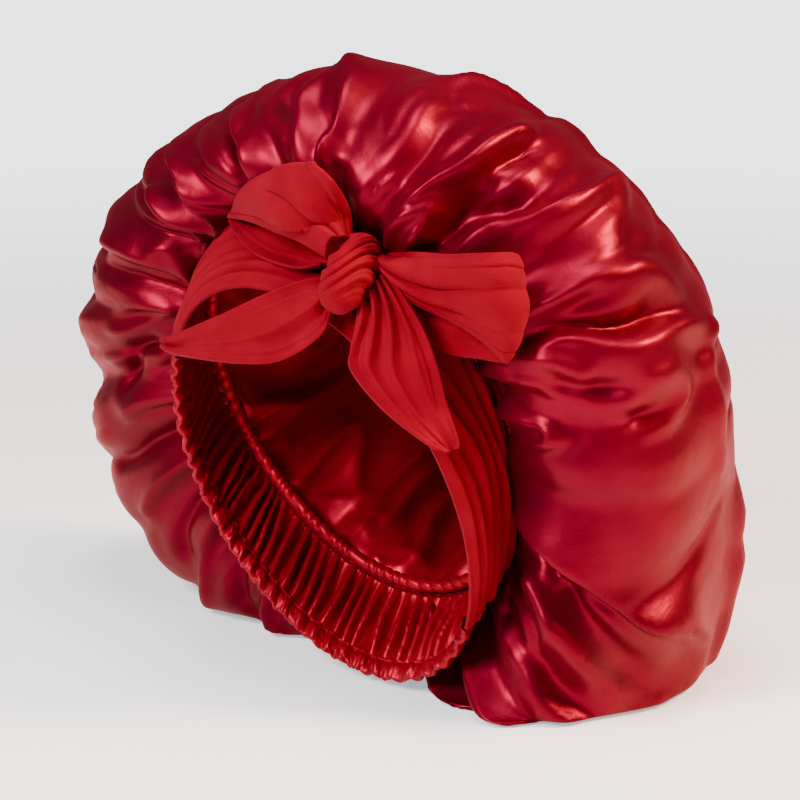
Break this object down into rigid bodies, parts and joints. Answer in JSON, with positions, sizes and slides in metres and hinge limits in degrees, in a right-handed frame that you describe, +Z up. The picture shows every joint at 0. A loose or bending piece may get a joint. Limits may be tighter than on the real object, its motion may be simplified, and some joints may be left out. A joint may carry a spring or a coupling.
{
  "type": "sleep bonnet",
  "caption": "Sleep bonnet with a puffed gathered satin crown, a satin lining, an elastic gathered nape band and a jersey headband tied in a bow, standing on its side edge",
  "frame": {"origin": "middle of the underside of the bounding box, on the surface that the bonnet stands on", "axes": "+Z up, -Y out of the opening, which leans forward by 15 degrees, +X to the right of someone who looks into the opening from the front"},
  "size_m": [0.3708, 0.2254, 0.2889],
  "materials": {
    "crown_satin": "glossy deep red satin",
    "lining_satin": "deep red satin",
    "nape_satin": "gathered deep red satin",
    "band_jersey": "matte bright red jersey"
  },
  "bodies": {
    "root": {"crown": "crown_satin", "lining": "lining_satin", "nape_band": "nape_satin", "nape_edge_casing": "nape_satin", "nape_seam_casing": "nape_satin", "headband": "band_jersey", "bow_knot": "band_jersey", "bow_loop_left": "band_jersey", "bow_loop_right": "band_jersey", "bow_tail_left": "band_jersey", "bow_tail_right": "band_jersey"}
  },
  "joints": []
}
